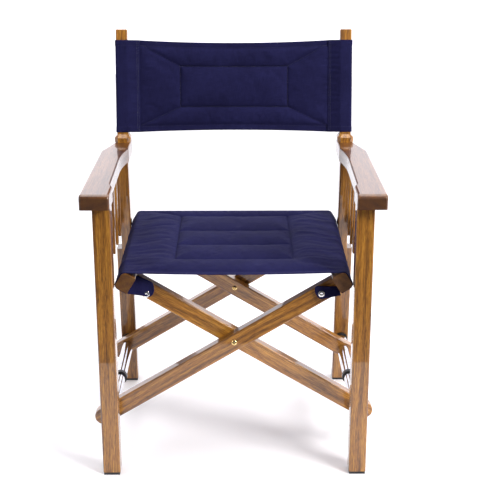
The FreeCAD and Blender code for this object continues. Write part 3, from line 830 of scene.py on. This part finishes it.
def make_sleeve(side):
    """Canvas round one post, closed by the seam beside it. Drawn for the right, mirrored for the left."""
    name = "right" if side > 0 else "left"
    middle, low, high = back_box()
    x0, x1 = extent("back_post_right", Vector((1, 0, 0)))
    half = (x1 - x0) / 2
    radius = POST_ROUND + GAP + CLOTH / 2
    seam = BACK_SEAM_X - SLEEVE_START
    outline = [(seam, -SLEEVE_LIP), (seam, SLEEVE_LIP)]
    for across in (-1, 1):
        for deep in (-1, 1):
            centre = ((x0 + x1) / 2 + across * (half - POST_ROUND), deep * (half - POST_ROUND))
            outline.extend(arc(centre, radius, 0, 2 * math.pi, 48)[0])
    loop = hull(outline)
    first = int(np.argmin(np.hypot(loop[:, 0] - seam, loop[:, 1] + SLEEVE_LIP)))
    loop = np.roll(loop, -first, axis=0)
    run = np.gradient(loop, axis=0)
    out = np.stack([run[:, 1], -run[:, 0]], -1)
    out /= np.linalg.norm(out, axis=1, keepdims=True)
    section = Path(loop, out)
    reach = section.place[-1]
    dice = np.random.default_rng(41 + side)
    waves = [(dice.uniform(150, 700), dice.uniform(0, 6.28), dice.uniform(0.2, 1.0)) for _ in range(7)]

    def surface(u, v):
        on, normal = section.at(u)
        point = leaning(on[..., 0] * side, middle + on[..., 1], v)
        flat = np.stack([normal[..., 0] * side, np.zeros_like(u), np.zeros_like(u)], -1)
        return point, flat + np.multiply.outer(normal[..., 1], np.array(DEPTH))

    def thickness(u, v):
        from_seam = np.minimum(u, reach - u)
        slack = step(0.0, 0.010, from_seam) * (1 - step(SLEEVE_WEB, SLEEVE_WEB + 0.014, from_seam))
        pucker = sum(tall * np.sin(often * v + turn) for often, turn, tall in waves) * SLEEVE_PUCKER
        fold = HEM_EXTRA * (1 - step(HEM - 0.001, HEM, np.minimum(v - low, high - v)))
        return CLOTH / 2 + fold + pucker * slack, CLOTH / 2 - 0.8 * pucker * slack

    sling = Sling(surface, (0.0, reach), (low, high), thickness)
    sleeve = sling.mesh("back_sleeve_" + name, grid_lines(0.0, reach, SLEEVE_STEP),
                        grid_lines(low, high, MESH_STEP))
    rows = [((at, low + 0.003), (at, high - 0.003)) for at in (0.004, 0.0075, reach - 0.004)]
    rows += [((0.003, at), (reach - 0.003, at)) for at in (low + HEM, high - HEM)]
    sleeve = join(sleeve, stitches(sling, "sleeve_stitches_" + name, rows, (1,)))
    if side < 0:
        sleeve.data.flip_normals()
    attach(sleeve, "side_" + name)


# ---- tabs and press studs -----------------------------------------------------------------------
def make_tab(side):
    """Strap that comes off the seat rail's inner face and turns to face the front, with a round end. The
    left strap reaches up to the seat, and its upper part is a navy sheet standing in for painted shade
    under the seat.
    """
    name = "right" if side > 0 else "left"
    body = "outer_frame" if side > 0 else "inner_frame"
    stud_low, stud_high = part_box("seat_stud_" + name)
    stud = (stud_low + stud_high) / 2
    front = Vector((0, stud_high.y + CLOTH, 0))
    root, tip = [[Vector(corner) + front for corner in end] for end in TABS[side]]
    count, rows = TAB_GRID
    points, pattern = [], []
    length = (tip[0] - root[0]).length
    for share in np.linspace(0, 1, count):
        low, high = root[0].lerp(tip[0], share), root[1].lerp(tip[1], share)
        middle, reach = (low + high) / 2, (high - low) / 2
        blunt = math.sqrt(max(0.0, 1 - max(0.0, (share - 1 + TAB_ROUND) / TAB_ROUND) ** 2.6))
        sway = 0.0022 * math.sin(math.pi * share) * math.sin(4.2 * share + 1.0 + side)
        for half in np.linspace(-1, 1, rows):
            curl = 0.0016 * half * half * share
            ripple = sway * math.cos(1.9 * half) + curl
            points.append(middle + reach * (half * blunt) + Vector((0, -ripple, 0)))
            pattern.append((share * length, half * reach.length))
    faces = [(i * rows + j, (i + 1) * rows + j, (i + 1) * rows + j + 1, i * rows + j + 1)
             for i in range(count - 1) for j in range(rows - 1)]
    made = bpy.data.meshes.new("seat_tab_canvas_" + name)
    made.from_pydata(points, [], faces)
    layer = made.uv_layers.new(name="weave")
    for number, loop in enumerate(made.loops):
        layer.data[number].uv = pattern[loop.vertex_index]
    tab = place_mesh("tab_strap_" + name, made, CANVAS)
    thick = tab.modifiers.new("thick", "SOLIDIFY")
    thick.thickness = 2 * CLOTH
    thick.offset = 0
    apply_modifiers(tab)
    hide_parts("seat_tab_" + name)
    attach(tab, body)
    cap = make_stud(name, stud, body)


def apply_modifiers(obj):
    """Replace a mesh by what its modifiers make of it."""
    shown = obj.evaluated_get(bpy.context.evaluated_depsgraph_get())
    made = bpy.data.meshes.new_from_object(shown)
    obj.modifiers.clear()
    obj.data = made
    made.polygons.foreach_set("use_smooth", [True] * len(made.polygons))


def make_stud(name, at, body):
    """Turned press stud: a domed cap with a rolled rim and a small dimple."""
    points = []
    for radius, depth in STUD_PROFILE:
        for turn in range(STUD_TURNS):
            angle = 2 * math.pi * turn / STUD_TURNS
            points.append((at.x + radius * math.cos(angle), at.y + STUD_BACK + depth,
                           at.z + radius * math.sin(angle)))
    faces = tube_faces(0, len(STUD_PROFILE), STUD_TURNS)
    last = (len(STUD_PROFILE) - 1) * STUD_TURNS
    faces.append(tuple(range(last + STUD_TURNS - 1, last - 1, -1)))
    made = bpy.data.meshes.new("stud_" + name)
    made.from_pydata(points, [], faces)
    stud = place_mesh("press_stud_" + name, made, CHROME)
    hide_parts("seat_stud_" + name)
    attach(stud, body)
    return stud


# ---- stage --------------------------------------------------------------------------------------
def make_stage():
    """Pale floor, and soft studio light from lamps and a world that is brighter behind the chair."""
    bpy.ops.mesh.primitive_plane_add(size=FLOOR_SIZE, location=(0, FLOOR_SIZE / 2 - FLOOR_FRONT, 0))
    floor = bpy.context.object
    floor.name = "floor"
    shader = Shader("pale_floor")
    cloud = shader.noise(shader.coord.outputs["Object"], 0.6, 2.0)
    shader.link(shader.ramp(cloud, [(0.2, (0.90, 0.89, 0.925)), (0.8, (0.94, 0.93, 0.955))]),
                shader.bsdf.inputs["Base Color"])
    shader.shine(Roughness=0.6, Emission_Strength=0.14)
    shader.bsdf.inputs["Emission Color"].default_value = (1.0, 0.985, 1.0, 1)
    floor.data.materials.append(shader.material)
    world = bpy.data.worlds.new("studio")
    world.use_nodes = True
    tree = world.node_tree
    facing = tree.nodes.new("ShaderNodeTexCoord")
    split = tree.nodes.new("ShaderNodeSeparateXYZ")
    tree.links.new(facing.outputs["Generated"], split.inputs[0])
    ramp = tree.nodes.new("ShaderNodeMapRange")
    ramp.inputs["From Min"].default_value = -0.6
    ramp.inputs["From Max"].default_value = 0.8
    ramp.inputs["To Min"].default_value = 0.05
    ramp.inputs["To Max"].default_value = 0.7
    tree.links.new(split.outputs["Y"], ramp.inputs["Value"])
    tree.links.new(ramp.outputs["Result"], tree.nodes["Background"].inputs["Strength"])
    tree.nodes["Background"].inputs["Color"].default_value = (0.93, 0.93, 1.0, 1)
    bpy.context.scene.world = world
    for name, place, aim, size, power in LAMPS:
        lamp = bpy.data.lights.new(name, "AREA")
        lamp.shape = "RECTANGLE"
        lamp.size, lamp.size_y = size
        lamp.energy = power
        lamp.color = (0.98, 0.955, 1.0) if name == "backdrop" else (1.0, 0.985, 0.97)
        obj = bpy.data.objects.new(name, lamp)
        obj.location = place
        obj.rotation_euler = (Vector(aim) - Vector(place)).to_track_quat("-Z", "Y").to_euler()
        obj.visible_camera = name == "backdrop"
        bpy.context.scene.collection.objects.link(obj)
    bpy.context.scene.view_settings.view_transform = "Standard"


def make_camera():
    lens = bpy.data.cameras.new("camera")
    lens.lens = CAMERA_LENS
    lens.sensor_width = 36.0
    camera = bpy.data.objects.new("camera", lens)
    camera.location = CAMERA_PLACE
    camera.rotation_euler = (math.radians(90 - CAMERA_DOWN), 0.0, math.radians(CAMERA_TURN))
    bpy.context.scene.collection.objects.link(camera)
    bpy.context.scene.camera = camera


dress_frame()
make_camera()
make_stage()
make_seat()
back = make_back_panel()
for one_side in (-1, 1):
    make_sleeve(one_side)
    make_tab(one_side)
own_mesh(back)
